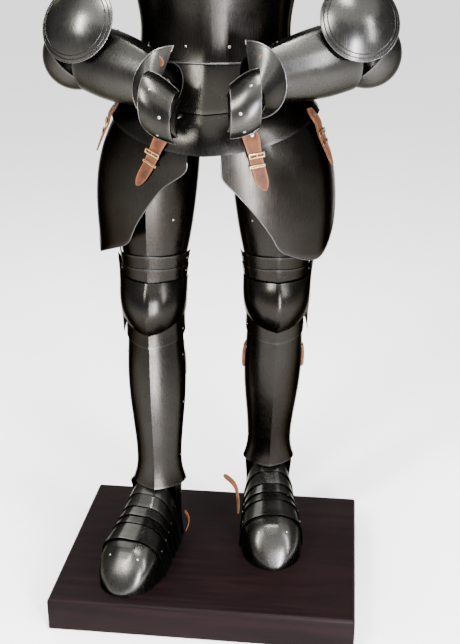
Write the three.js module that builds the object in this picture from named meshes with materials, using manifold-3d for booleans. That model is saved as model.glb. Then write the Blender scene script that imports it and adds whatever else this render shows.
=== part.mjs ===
// Suit of plate armour standing on a wooden plinth.
// Millimetres, +Z up. The wearer faces -Y, "left" and "right" are the wearer's own sides,
// so the left side is at +X. The origin is the centre of the plinth's underside.
import * as THREE from 'three';
import Module from 'manifold-3d';
import { mergeVertices } from 'three/addons/utils/BufferGeometryUtils.js';

// ---------------------------------------------------------------- driving sizes
const plinth = { width: 610, depth: 460, height: 70, chamfer: 4 };
const plate = 1.5;        // thickness of every steel plate
const leather = 3;        // thickness of the straps
const layer = 3.4;        // step from one overlapping plate to the next
const soleGap = 0.5;      // the soles stand this far clear of the plinth's top
const postRadius = 11;    // rods of the display frame inside the suit
const bodyY = 75;         // the body's axis stands this far behind the plinth's centre

// Where each leg stands: x and y of its axis at ankle, knee and hip and of the foot's
// ankle point, and how far the leg and the foot are turned outwards in degrees.
const legs = {
  left: {
    side: 1, ankle: [107, 130], knee: [119, 100], hip: [116, 78], turn: 8, foot: [107, 130], footTurn: 8,
  },
  right: {
    side: -1, ankle: [-114, 8], knee: [-124, 62], hip: [-118, 76], turn: 2, foot: [-127, 4], footTurn: 11,
  },
};

// Where each arm goes: shoulder, elbow, the middle of the round wing over the crook of the
// elbow, the middle of the gauntlet cuff's rim and the way it faces, the wrist, and the two
// ends of the plate over the back of the hand, with its slant down towards the fingers.
const arms = {
  left: {
    side: 1, shoulder: [228, 80, 1392], elbow: [276, 16, 1040], crook: [240, 14, 1064],
    cuff: [88, -116, 1004], cuffFacing: [-0.42, -0.9, -0.12],
    wrist: [96, -168, 985], wristFacing: [-0.7, -0.7, -0.2], hand: [[107, -174, 984], [56, -184, 984]], slant: 0.45,
  },
  right: {
    side: -1, shoulder: [-228, 80, 1392], elbow: [-242, 4, 1031], crook: [-197, 1, 1057],
    cuff: [-60, -116, 994], cuffFacing: [0.62, -0.77, -0.15],
    wrist: [-72, -168, 974], wristFacing: [0.78, -0.6, -0.2], hand: [[-85, -174, 978], [-30, -186, 978]], slant: 0.5,
  },
};

// Heights above the plinth's top at which the plates begin and end.
const heights = {
  heelTop: 146, greaveBottom: 158, greaveTop: 470,
  kneeLow: 458, copBottom: 486, copTop: 594, kneeUp: 621, cuisseBottom: 638, cuisseTop: 846,
  fauldBottom: 869, fauldRise: 56, fauldStep: 82, waist: 1036, armpit: 1262, neck: 1376,
};

// ---------------------------------------------------------------- small helpers
const rad = THREE.MathUtils.degToRad;
const vec = (x, y, z) => new THREE.Vector3(x, y, z);
const mix = THREE.MathUtils.lerp;
const spread = (from, to, steps) => Array.from({ length: steps + 1 }, (_, i) => mix(from, to, i / steps));
const fall = (angle, reach) => Math.max(0, 1 - Math.abs(angle) / reach);

// A smooth curve through stations [key, value, value, ...]: returns key => values.
function profile(stations) {
  const slope = (i, k) => {
    const a = stations[Math.max(i - 1, 0)];
    const b = stations[Math.min(i + 1, stations.length - 1)];
    return (b[k] - a[k]) / (b[0] - a[0]);
  };
  return (key) => {
    let i = stations.findIndex((s) => s[0] > key) - 1;
    if (i === -2) i = stations.length - 2;
    if (i === -1) i = 0;
    const [a, b] = [stations[i], stations[i + 1]];
    const span = b[0] - a[0];
    const t = THREE.MathUtils.clamp((key - a[0]) / span, 0, 1);
    return a.slice(1).map((_, n) => {
      const k = n + 1;
      const [h1, h2] = [t * t * (3 - 2 * t), t * (1 - t) * (1 - t)];
      return a[k] * (1 - h1) + b[k] * h1 + span * (slope(i, k) * h2 - slope(i + 1, k) * t * t * (1 - t));
    });
  };
}

// The same with straight lines between the stations, for outlines with corners.
function outline(stations) {
  return (key) => {
    let i = stations.findIndex((s) => s[0] > key) - 1;
    if (i < 0) i = key < stations[0][0] ? 0 : stations.length - 2;
    const [a, b] = [stations[i], stations[i + 1]];
    return mix(a[1], b[1], THREE.MathUtils.clamp((key - a[0]) / (b[0] - a[0]), 0, 1));
  };
}

// A grid of points: one row for each v, one column for each u.
const grid = (us, vs, point) => vs.map((v) => us.map((u) => point(u, v)));

// A closed wall behind a grid of points on its outer face. A row whose points all
// coincide is a pole; "ring" joins the last column to the first.
function shell(rows, { ring = false, thickness = plate } = {}) {
  const [m, n] = [rows.length, rows[0].length];
  const pole = rows.map((row) => row.every((p) => p.distanceTo(row[0]) < 1e-6));
  const id = (i, j) => i * n + (pole[i] ? 0 : (j + n) % n);
  const at = (i, j) => {
    const row = rows[THREE.MathUtils.clamp(i, 0, m - 1)];
    return row[ring ? (j + n) % n : THREE.MathUtils.clamp(j, 0, n - 1)];
  };
  const normal = (i, j) => {
    const across = at(i, j + 1).clone().sub(at(i, j - 1));
    const along = at(i + 1, j).clone().sub(at(i - 1, j));
    return across.cross(along).normalize();
  };
  const normals = rows.map((row, i) => row.map((_, j) => normal(i, j)));
  pole.forEach((isPole, i) => {
    if (!isPole) return;
    const mean = vec(0, 0, 0);
    normals[i === 0 ? 1 : i - 1].forEach((d) => mean.add(d));
    normals[i] = rows[i].map(() => mean.clone().normalize());
  });

  // the outer face is the one that looks away from the middle of the plate
  const points = rows.flat();
  const middle = points.reduce((sum, p) => sum.add(p), vec(0, 0, 0)).divideScalar(points.length);
  const facing = normals.flat().reduce((sum, d, k) => sum + d.dot(points[k].clone().sub(middle)), 0);
  const sign = Math.sign(facing);

  const faces = [];
  const face = (a, b, c) => {
    if (a !== b && b !== c && c !== a) faces.push(sign > 0 ? [a, b, c] : [a, c, b]);
  };
  for (let i = 0; i < m - 1; i++) {
    for (let j = 0; j < (ring ? n : n - 1); j++) {
      const [a, b, c, d] = [id(i, j), id(i, j + 1), id(i + 1, j + 1), id(i + 1, j)];
      if (at(i, j).distanceTo(at(i + 1, j + 1)) >= at(i, j + 1).distanceTo(at(i + 1, j))) {
        face(a, b, c);
        face(a, c, d);
      } else {
        face(a, b, d);
        face(b, c, d);
      }
    }
  }
  const seen = new Set(faces.flatMap(([a, b, c]) => [`${a}_${b}`, `${b}_${c}`, `${c}_${a}`]));
  const back = points.length;
  const walls = faces.map(([a, b, c]) => [a + back, c + back, b + back]);
  for (const [a, b, c] of faces) {
    for (const [from, to] of [[a, b], [b, c], [c, a]]) {
      if (seen.has(`${to}_${from}`)) continue;
      walls.push([to, from, from + back], [to, from + back, to + back]);
    }
  }
  const inner = points.map((p, k) => p.clone().addScaledVector(normals.flat()[k], -sign * thickness));
  const geometry = new THREE.BufferGeometry();
  const corners = [...faces, ...walls].flat();
  const everything = [...points, ...inner];
  geometry.setAttribute('position', new THREE.Float32BufferAttribute(
    corners.flatMap((k) => everything[k].toArray()), 3));
  return mergeVertices(geometry, 1e-5);
}

// ---------------------------------------------------------------- materials and the group
const finishes = {
  steel: { color: 0x4a4a46, roughness: 0.34, metalness: 1 },
  leather: { color: 0xb8794e, roughness: 0.75, metalness: 0 },
  wood: { color: 0x2c1a1b, roughness: 0.45, metalness: 0 },
  frame: { color: 0x202124, roughness: 0.6, metalness: 0.6 },
};
const group = new THREE.Group();
const suit = new THREE.Group();
suit.position.z = plinth.height;
group.add(suit);

function add(name, geometry, finish = 'steel', parent = suit) {
  geometry.computeVertexNormals();
  const mesh = new THREE.Mesh(geometry, new THREE.MeshStandardMaterial(finishes[finish]));
  mesh.name = name;
  parent.add(mesh);
}

// ---------------------------------------------------------------- plinth
function makePlinth() {
  const { width, depth, height, chamfer } = plinth;
  const shape = new THREE.Shape();
  const [x, y] = [width / 2 - chamfer, depth / 2 - chamfer];
  shape.moveTo(-x, -y).lineTo(x, -y).lineTo(x, y).lineTo(-x, y).closePath();
  const body = new THREE.ExtrudeGeometry(shape, {
    depth: height - chamfer, bevelEnabled: true, bevelSegments: 1,
    bevelSize: chamfer, bevelThickness: chamfer,
  });
  const position = body.getAttribute('position');
  for (let i = 0; i < position.count; i++) {
    // only the top edge is chamfered: the lower bevel goes straight down to the floor
    if (position.getZ(i) > 0.1) continue;
    const [px, py] = [position.getX(i), position.getY(i)];
    if (position.getZ(i) < -0.1) {
      position.setXYZ(i, Math.sign(px) * width / 2, Math.sign(py) * depth / 2, 0);
    } else {
      position.setXYZ(i, Math.sign(px) * width / 2, Math.sign(py) * depth / 2, height / 2);
    }
  }
  body.deleteAttribute('normal');
  body.deleteAttribute('uv');
  add('plinth', mergeVertices(body, 1e-4), 'wood', group);
}

// ---------------------------------------------------------------- legs
// half width, front depth and back depth of the leg harness at a height
const legSection = profile([
  [140, 58, 51, 60], [158, 56, 49, 56], [176, 50, 45, 52], [204, 46, 44, 50], [260, 50, 49, 62],
  [340, 59, 57, 78], [400, 61, 59, 78], [452, 58, 58, 66], [530, 57, 57, 54], [600, 62, 61, 60],
  [690, 78, 74, 74], [780, 88, 82, 84], [850, 92, 85, 88],
]);

function legFrame(leg, turn) {
  const t = rad(turn);
  return {
    out: vec(leg.side * Math.cos(t), Math.sin(t), 0),
    ahead: vec(leg.side * Math.sin(t), -Math.cos(t), 0),
  };
}

// A point on the leg harness: angle 0 is straight ahead and 90 the outer side.
function legPoint(leg, z, angle, grow = 0, ridge = 8) {
  const axis = profile([[60, ...leg.ankle], [180, ...leg.ankle], [530, ...leg.knee], [860, ...leg.hip]])(z);
  const [width, front, back] = legSection(z);
  const { out, ahead } = legFrame(leg, leg.turn);
  const depth = Math.cos(rad(angle)) > 0 ? front : back;
  const crest = ridge * fall(angle, 42);
  return vec(axis[0], axis[1], z)
    .addScaledVector(out, (width + grow) * Math.sin(rad(angle)))
    .addScaledVector(ahead, (depth + grow + crest) * Math.cos(rad(angle)));
}

const legColumns = [-89, -74, -58, -42, -22, 0, 22, 42, 58, 74, 89];

function makeGreave(name, leg) {
  const { greaveBottom, greaveTop } = heights;
  const rows = [greaveBottom, 176, 204, 250, 300, 350, 400, 440, greaveTop];
  add(`greave_front_${name}`, shell(grid(legColumns, rows, (a, z) => legPoint(leg, z, a))));
  const behind = spread(91.2, 268.8, 9);
  const rowsBehind = [greaveBottom, 168, 182, 204, 250, 300, 350, 400, 448];
  add(`greave_back_${name}`, shell(grid(behind, rowsBehind, (a, z) => legPoint(leg, z, a, 0, 0))));
}

function makeKnee(name, leg) {
  const { kneeLow, copBottom, copTop, kneeUp } = heights;
  const columns = [-96, -80, -62, -42, -21, 0, 21, 42, 62, 80, 96];
  const lowEdge = (a) => kneeLow + 16 * (1 - Math.cos(rad(a)));
  add(`knee_low_${name}`, shell(grid(columns, spread(0, 1, 3), (a, t) =>
    legPoint(leg, mix(lowEdge(a), copBottom + 14, t), a, layer))));
  // the cop: a dome in front of the knee, which runs out into a fan on the outer side
  const fanTop = outline([
    [-104, 588], [-60, 592], [0, copTop], [70, copTop], [96, 630], [112, 606], [126, 566],
  ]);
  const fanLow = outline([
    [-104, 522], [-64, 512], [-42, 500], [-20, 490], [0, copBottom], [20, 490], [42, 500], [66, 508], [96, 464], [112, 494], [126, 540],
  ]);
  const domed = [-104, -84, -64, -42, -20, 0, 20, 42, 64, 80, 96, 112, 126];
  const cop = (a, t) => {
    const z = mix(fanLow(a), fanTop(a), t);
    const swell = 25 * Math.sin(Math.PI * THREE.MathUtils.clamp(t * 0.94 + 0.03, 0, 1)) ** 0.8;
    const front = Math.max(0, Math.cos(rad(a) * 0.92)) ** 1.3;
    const fan = a > 72 ? 7 * Math.sin(rad(90 * Math.min(1, (a - 72) / 28))) : 0;
    return legPoint(leg, z, a, 7 + swell * front + fan * (0.4 + Math.abs(t - 0.5)), 6);
  };
  add(`knee_cop_${name}`, shell(grid(domed, [0, 0.1, 0.25, 0.42, 0.6, 0.78, 0.92, 1], cop)));
  // two narrow plates between the cop and the thigh, cusped at the ridge
  const cusp = (a) => 5 * fall(a, 30);
  add(`knee_up1_${name}`, shell(grid(columns, spread(0, 1, 2), (a, t) =>
    legPoint(leg, mix(copTop - 12, kneeUp - 2 + cusp(a), t), a * 0.94, mix(4.4, 4.7, t)))));
  add(`knee_up2_${name}`, shell(grid(columns, spread(0, 1, 2), (a, t) =>
    legPoint(leg, mix(kneeUp - 12, kneeUp + 24 + cusp(a), t), a * 0.94, mix(2.9, 2.4, t)))));
}

function makeCuisse(name, leg) {
  const { cuisseBottom, cuisseTop } = heights;
  const columns = [-118, -96, -72, -48, -24, 0, 24, 48, 72, 96, 118];
  add(`cuisse_${name}`, shell(grid(columns, spread(cuisseBottom, cuisseTop, 5), (a, z) =>
    legPoint(leg, z, a, -1.6, 10))));
}

// ---------------------------------------------------------------- feet
// Hoops of the sabaton from the ankle to the toes: where the hoop crosses the middle
// line (distance ahead of the ankle, height), and where its ends meet the sole
// (distance ahead, half width).
const footHoop = profile([
  [0, 18, 166, -30, 52], [1, 51, 137, 2, 57], [2, 80, 117, 40, 60], [3, 102, 107, 70, 64],
  [4, 140, 90, 116, 67], [5, 166, 83, 148, 67],
]);

function footPoint(leg, hoop, angle, grow = 0, flat = 0) {
  const [topAhead, topHeight, endAhead, width] = hoop;
  const { out, ahead } = legFrame(leg, leg.footTurn);
  const a = rad(angle);
  const rise = Math.pow(Math.abs(Math.cos(a)), 0.62);
  const crest = flat * fall(angle, 24);
  return vec(leg.foot[0], leg.foot[1], soleGap)
    .addScaledVector(out, Math.sign(a) * Math.pow(Math.abs(Math.sin(a)), 0.66) * (width + grow))
    .addScaledVector(ahead, mix(endAhead, topAhead, rise))
    .addScaledVector(vec(0, 0, 1), rise * (topHeight + grow + crest));
}

function makeSabaton(name, leg) {
  const columns = [-90, -75, -60, -44, -26, -9, 9, 26, 44, 60, 75, 90];
  const count = 4;
  for (let i = 0; i < count; i++) {
    // each lame tucks under the one behind it
    const start = 3 * i / count;
    const stations = [start - 0.02, start + 3 / count + 0.12];
    const grow = (t) => (t === 0 ? -layer * 0.55 : layer * 0.55);
    add(`instep_${i + 1}_${name}`, shell(grid(columns, [0, 1], (a, t) =>
      footPoint(leg, footHoop(Math.max(0, stations[t])), a, grow(t)))));
  }
  // the long plate over the ball of the foot, with two flutes beside the middle
  add(`ball_plate_${name}`, shell(grid(columns, spread(3, 4.12, 3), (a, v) =>
    footPoint(leg, footHoop(v), a, mix(-layer * 0.55, layer * 0.6, (v - 3) / 1.12), 1.5))));
  // the broad round toe cap closes at the sole
  const [rear, tip] = [4.02, 215];
  const [topAhead, topHeight, endAhead, width] = footHoop(rear);
  const cap = (a, t) => {
    const low = Math.pow(Math.max(0, 1 - t ** 1.7), 0.72);
    const narrow = Math.pow(Math.max(0, 1 - t ** 2.6), 0.5);
    const length = (from) => from + (tip - from) * t;
    const hoop = [length(topAhead), topHeight * low, length(endAhead), width * narrow];
    return footPoint(leg, hoop, a, t === 1 ? 0 : -layer * 0.75);
  };
  add(`toe_cap_${name}`, shell(grid(columns, [0, 0.3, 0.55, 0.75, 0.88, 0.96, 1], cap)));
  // the heel plate wraps the back of the foot
  const { out, ahead } = legFrame(leg, leg.footTurn);
  const heel = (a, z) => {
    const width = 50 - 3 * Math.sin(Math.PI * z / 134);
    const reach = 42 - 14 * Math.sin(Math.PI * z / 200) + 12 * (1 - z / heights.heelTop) ** 2;
    // the first and last columns are a flap that leans forward beside the ankle
    const flap = Math.abs(a - 180) > 90;
    const turned = rad(THREE.MathUtils.clamp(a, 90, 270));
    return vec(leg.foot[0], leg.foot[1], z)
      .addScaledVector(out, width * Math.sin(turned))
      .addScaledVector(ahead, -36 + (flap ? 43 * z / heights.heelTop : reach * Math.cos(turned)));
  };
  const heelRows = [2 * soleGap, 36, 72, 110, heights.heelTop];
  add(`heel_plate_${name}`, shell(grid([80, ...spread(90, 270, 8), 280], heelRows, heel)));
}

// ---------------------------------------------------------------- torso
// half width, front depth and back depth of the body armour at a height
const bodySection = profile([
  [850, 216, 172, 156], [900, 208, 167, 150], [950, 175, 139, 132], [1000, 141, 110, 112],
  [1040, 132, 100, 102], [1110, 142, 112, 110], [1200, 160, 142, 128], [1280, 165, 150, 136],
  [1340, 157, 136, 132], [1376, 146, 114, 118],
]);

function bodyPoint(z, angle, grow = 0, ridge = 7) {
  const [width, front, back] = bodySection(z);
  const a = rad(angle);
  const depth = Math.cos(a) > 0 ? front : back;
  const reach = depth + grow + ridge * fall(angle, 30);
  return vec((width + grow) * Math.sin(a), bodyY - reach * Math.cos(a), z);
}

const fauldEdge = (a) => heights.fauldBottom + heights.fauldRise * Math.sin(rad(a)) ** 2;

function makeFauld() {
  const columns = spread(-92, 92, 16);
  const { fauldStep, waist } = heights;
  add('fauld_lower', shell(grid(columns, spread(0, 1, 3), (a, t) =>
    bodyPoint(mix(fauldEdge(a), fauldEdge(a) + fauldStep, t), a, mix(layer + 2, layer, t)))));
  add('fauld_upper', shell(grid(columns, spread(0, 1, 3), (a, t) =>
    bodyPoint(mix(fauldEdge(a) + fauldStep - 12, waist, t), a, 2.15 * layer))));
  const behind = spread(93.4, 266.6, 12);
  const rear = (a) => fauldEdge(a) + 6 + 22 * Math.cos(rad(a)) ** 2;
  add('culet', shell(grid(behind, spread(0, 1, 5), (a, t) =>
    bodyPoint(mix(rear(a), waist, t), a, 2 * layer, 0))));
}

function makeCuirass() {
  const { waist, armpit, neck } = heights;
  // top edge: scooped at the neck, up to the shoulder straps, then down to the armpit
  const top = profile([
    [0, neck - 34], [22, neck - 24], [40, neck - 8], [54, neck - 22], [70, armpit + 26], [91, armpit],
  ]);
  const columns = [-91, -78, -66, -54, -42, -30, -15, 0, 15, 30, 42, 54, 66, 78, 91];
  add('breastplate', shell(grid(columns, [0, 0.08, 0.25, 0.45, 0.65, 0.82, 1], (a, t) =>
    bodyPoint(mix(waist - 14, top(Math.abs(a))[0], t), a, mix(3.6, 0, Math.min(1, t * 4)) * layer))));
  const behind = spread(92.4, 267.6, 13);
  const rearTop = (a) => top(Math.min(91, Math.abs(180 - a)))[0] + 12 * Math.cos(rad(a)) ** 2;
  add('backplate', shell(grid(behind, [0, 0.08, 0.25, 0.45, 0.65, 0.82, 1], (a, t) =>
    bodyPoint(mix(waist - 14, rearTop(a), t), a, mix(3.4, 0, Math.min(1, t * 4)) * layer, 0))));
}

// ---------------------------------------------------------------- tassets and their straps
const tassetSection = profile([
  [640, 232, 156], [700, 236, 162], [760, 237, 166], [820, 231, 169], [860, 220, 171], [883, 212, 169],
  [900, 206, 166], [945, 178, 143],
]);
// the lower edge of each tasset: angle round the body and height; it sweeps from the
// inner corner down to a point at the crease and up again at the side
const tassets = {
  left: {
    side: 1, crease: 62, angles: [8, 12, 15.5, 20, 25, 29.5, 33, 35, 44, 53, 62, 71, 84, 97],
    edge: outline([
      [8, 824], [15.5, 794], [25, 748], [33, 703], [35, 683], [47, 664], [60, 650], [76, 690], [97, 752],
    ]),
  },
  right: {
    side: -1, crease: 71, angles: [8, 10, 15, 21, 27, 31, 35, 38, 41, 51, 61, 71, 84, 97],
    edge: outline([
      [8, 842], [10, 831], [21, 802], [27, 769], [35, 727], [41, 684], [58, 664], [74, 646], [97, 730],
    ]),
  },
};

function tassetPoint({ side, crease: folded }, z, angle, grow = 0) {
  const [width, front] = tassetSection(z);
  const a = rad(angle);
  const crease = 6 * fall(angle - folded, 22) * Math.min(1, Math.max(0, (905 - z) / 60));
  const r = grow + crease;
  return vec(side * (width + r) * Math.sin(a), bodyY - (front + r) * Math.cos(a), z);
}

function makeTasset(name, tasset) {
  const top = (a) => fauldEdge(a) + 14;
  add(`tasset_${name}`, shell(grid(tasset.angles, spread(0, 1, 6), (a, t) =>
    tassetPoint(tasset, mix(tasset.edge(a), top(a), t), a, -2.2))));
}

// Each strap hangs from the lower fauld plate on to the tasset: the angle and height of
// its head and of its tip.
const straps = [
  { name: 'strap_inner_left', on: 'left', head: [22, 918], tip: [27, 804] },
  { name: 'strap_outer_left', on: 'left', head: [69, 938], tip: [76, 832] },
  { name: 'strap_inner_right', on: 'right', head: [18, 916], tip: [32, 806] },
  { name: 'strap_outer_right', on: 'right', head: [70, 944], tip: [79, 846] },
];

function makeStrap({ name, on, head, tip }) {
  const { side } = legs[on];
  const clear = 1.2;
  const along = [0, 0.07, 0.16, 0.3, 0.45, 0.6, 0.75, 0.88, 1];
  const halfWidth = profile([[0, 8], [0.07, 15], [0.16, 16], [0.3, 12.5], [0.88, 12.5], [1, 4]]);
  const point = (w, t) => {
    const z = mix(tip[1], head[1], t);
    const [width] = tassetSection(z);
    const angle = mix(tip[0], head[0], t) + THREE.MathUtils.radToDeg(w * halfWidth(1 - t)[0] / width);
    const onTasset = tassetPoint(tassets[on], z, angle, clear + leather);
    const onFauld = bodyPoint(z, side * angle, layer + 3 + clear + leather);
    const axis = vec(0, bodyY, z);
    const overFauld = z > fauldEdge(angle) - 10;
    return overFauld && onFauld.distanceTo(axis) > onTasset.distanceTo(axis) ? onFauld : onTasset;
  };
  add(name, shell(grid([-1, 0, 1], along, point), { thickness: leather }), 'leather');
}

// ---------------------------------------------------------------- arms
function armFrame(from, to, up) {
  const axis = to.clone().sub(from);
  const length = axis.length();
  axis.normalize();
  const across = axis.clone().cross(up).normalize();
  return { from, axis, length, across, up: across.clone().cross(axis).normalize() };
}

// A point round an arm at distance s along it; angle 0 looks along "up".
function armPoint(frame, s, angle, radius, flatten = 1, ridge = 0) {
  const a = rad(angle);
  const r = radius + ridge * fall(THREE.MathUtils.euclideanModulo(angle + 180, 360) - 180, 36);
  return frame.from.clone()
    .addScaledVector(frame.axis, s)
    .addScaledVector(frame.up, r * Math.cos(a))
    .addScaledVector(frame.across, r * flatten * Math.sin(a));
}

// A hoop between two others: its middle, the direction it faces, and its radii.
function hoopPoint(hoops, v, angle) {
  const i = Math.min(Math.floor(v), hoops.length - 2);
  const [a, b] = [hoops[i], hoops[i + 1]];
  const t = v - i;
  const middle = a.middle.clone().lerp(b.middle, t);
  const facing = a.facing.clone().lerp(b.facing, t).normalize();
  const across = vec(0, 0, 1).cross(facing).normalize();
  const up = facing.clone().cross(across).normalize();
  return middle
    .addScaledVector(up, mix(a.radius, b.radius, t) * Math.cos(rad(angle)))
    .addScaledVector(across, mix(a.radius, b.radius, t) * Math.sin(rad(angle)));
}

function makeArm(name, arm) {
  const at = (spot) => vec(...arm[spot]);
  const [shoulder, elbow, crook, rim, wrist] = ['shoulder', 'elbow', 'crook', 'cuff', 'wrist'].map(at);
  const [rimFacing, wristFacing] = [arm.cuffFacing, arm.wristFacing].map((p) => vec(...p).normalize());
  const upper = armFrame(shoulder, elbow, vec(arm.side, 0, 0.35).normalize());
  const fore = armFrame(elbow, rim, vec(0, -0.55, 1).normalize());
  const round = spread(0, 330, 11);

  // shoulder: a dome open towards the neck and under the arm, its top leaning to the neck:
  // distance along the arm, radius and lean
  const dome = profile([
    [0, -76, 0, 46], [1, -72, 34, 44], [2, -56, 64, 34], [3, -26, 84, 18], [4, 10, 88, 5], [5, 50, 82, 0],
    [6, 96, 72, 0],
  ]);
  add(`shoulder_${name}`, shell(grid(spread(-132, 132, 12), [0, 0.6, 1.3, 2.1, 3, 4, 5, 6], (a, v) => {
    const [s, r, lean] = dome(v);
    return armPoint(upper, s, a, r, 1.02).add(vec(-arm.side * lean, 0, 0));
  })));

  // upper arm tube
  add(`upper_arm_${name}`, shell(grid(round, [76, 140, 210, upper.length - 62], (a, s) =>
    armPoint(upper, s, a, mix(52, 48, (s - 76) / 220), 0.94)), { ring: true }));

  // elbow: a cop round the outside of the bend, under a broad round wing at its side
  const point = upper.axis.clone().sub(fore.axis).normalize();
  const hinge = fore.axis.clone().cross(upper.axis.clone().negate()).normalize();
  const outer = hinge.multiplyScalar(Math.sign(-hinge.y));
  const cop = armFrame(elbow, elbow.clone().add(point), outer);
  add(`elbow_cop_${name}`, shell(grid(spread(0, 340, 17), [0, 0.22, 0.48, 0.74, 1], (a, t) => {
    const swing = rad(86 * t);
    return armPoint(cop, 70 * Math.cos(swing), a, 70 * Math.sin(swing), 0.94);
  }), { ring: true }));
  const pole = vec(arm.side * 0.3, -0.86, 0.4).normalize();
  const wing = armFrame(crook, crook.clone().add(pole), vec(0, 0, 1));
  const [wingRim, wingBulge, wingHeight] = [72, 112, 112];
  const wingSwing = Math.asin(wingRim / wingBulge);
  add(`elbow_wing_${name}`, shell(grid(spread(0, 340, 17), [0, 0.3, 0.6, 0.85, 1], (a, t) => armPoint(
    wing, wingHeight - wingBulge * (1 - Math.cos(wingSwing * t)), a, wingBulge * Math.sin(wingSwing * t),
  )), { ring: true }));

  // forearm tube with a crease along its upper front
  const foreEnd = fore.length + 4;
  const foreRadius = profile([[44, 64], [90, 66], [140, 61], [foreEnd - 30, 47], [foreEnd, 42]]);
  add(`forearm_${name}`, shell(grid(round, [44, 80, 115, 155, foreEnd - 24, foreEnd], (a, s) =>
    armPoint(fore, s, a, foreRadius(s)[0], 0.94, 4)), { ring: true }));

  // gauntlet: a flared cuff, open at the inner side of the wrist, the plate over the back
  // of the hand, and the plate over the fingers
  const cuffHoops = [0, 0.2, 0.5, 0.8, 1].map((t, i) => ({
    middle: rim.clone().lerp(wrist, t),
    facing: rimFacing.clone().lerp(wristFacing, t).normalize(),
    radius: [67, 59, 46, 35, 29][i],
  }));
  const gap = 180 + 90 * arm.side;
  const [high, low] = [82, 60];
  const [cuffFrom, cuffTo] = arm.side > 0 ? [gap + high, gap + 360 - low] : [gap + low, gap + 360 - high];
  add(`cuff_${name}`, shell(grid(spread(cuffFrom, cuffTo, 11), [0, 1, 2, 3, 4], (a, v) =>
    hoopPoint(cuffHoops, v, a))));
  const back = vec(-arm.side * 0.2, -0.95, 0.25).normalize();
  const palm = armFrame(vec(...arm.hand[0]), vec(...arm.hand[1]), back);
  const sink = (s) => vec(0, 0, -arm.slant * s);
  const tall = profile([[3, 48, 43], [12, 51, 45], [30, 51, 45], [palm.length, 44, 39]]);
  const around = spread(-84, 84, 10);
  add(`hand_${name}`, shell(grid(around, [3, 9, 19, 32, palm.length], (a, s) => {
    const [half, depth] = tall(s);
    return armPoint(palm, s, a, depth, half / depth).add(sink(s));
  })));
  const curl = profile([
    [0, palm.length - 14, 35, 38], [1, palm.length - 1, 32, 35], [2, palm.length + 4, 20, 31],
    [3, palm.length + 2, 6, 27],
  ]);
  add(`fingers_${name}`, shell(grid(spread(-80, 80, 8), [0, 1, 2, 3], (a, v) => {
    const [s, depth, half] = curl(v);
    return armPoint(palm, s, a, depth, half / depth).add(sink(s));
  })));
}

// ---------------------------------------------------------------- neck and helmet
function roundPoint(z, angle, width, front, back, y = bodyY - 8) {
  const a = rad(angle);
  return vec(width * Math.sin(a), y - (Math.cos(a) > 0 ? front : back) * Math.cos(a), z);
}

function makeHead() {
  const collar = profile([
    [1392, 132, 118, 110], [1408, 104, 96, 92], [1436, 76, 76, 76], [1478, 70, 72, 72],
  ]);
  add('gorget', shell(grid(spread(0, 340, 17), [1392, 1402, 1418, 1440, 1478], (a, z) =>
    roundPoint(z, a, ...collar(z))), { ring: true }));
  // the bevor guards the chin; its upper edge is the lower side of the eye gap
  const chin = profile([
    [1448, 92, 118], [1476, 84, 96], [1520, 92, 106], [1570, 99, 122], [1612, 102, 126],
  ]);
  const chinColumns = [-98, -78, -58, -38, -18, 0, 18, 38, 58, 78, 98];
  add('bevor', shell(grid(chinColumns, spread(0, 1, 5), (a, t) => {
    const z = mix(1448, 1612 - 22 * Math.sin(rad(a)) ** 2, t);
    const [width, front] = chin(z);
    return roundPoint(z, a, width, front + 8 * fall(a, 30), 96);
  })));
  // the helmet: a skull with a flared rim and a short tail behind
  const skull = profile([
    [0, 0, 0], [0.15, 44, 0.06], [0.32, 76, 0.2], [0.5, 98, 0.4], [0.68, 108, 0.62], [0.84, 112, 0.82],
    [1, 120, 1],
  ]);
  const rim = (a) => 1628 - 66 * (0.5 - 0.5 * Math.cos(rad(a))) ** 1.5;
  add('helmet', shell(grid(spread(0, 340, 17), [0, 0.15, 0.32, 0.5, 0.68, 0.84, 1], (a, t) => {
    const [r, drop] = skull(t);
    const tail = 30 * Math.max(0, t - 0.68) / 0.32 * Math.max(0, -Math.cos(rad(a)));
    return roundPoint(mix(1790, rim(a), drop), a, r, r * 1.22, r * 1.2 + tail);
  }), { ring: true }));
}

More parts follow.
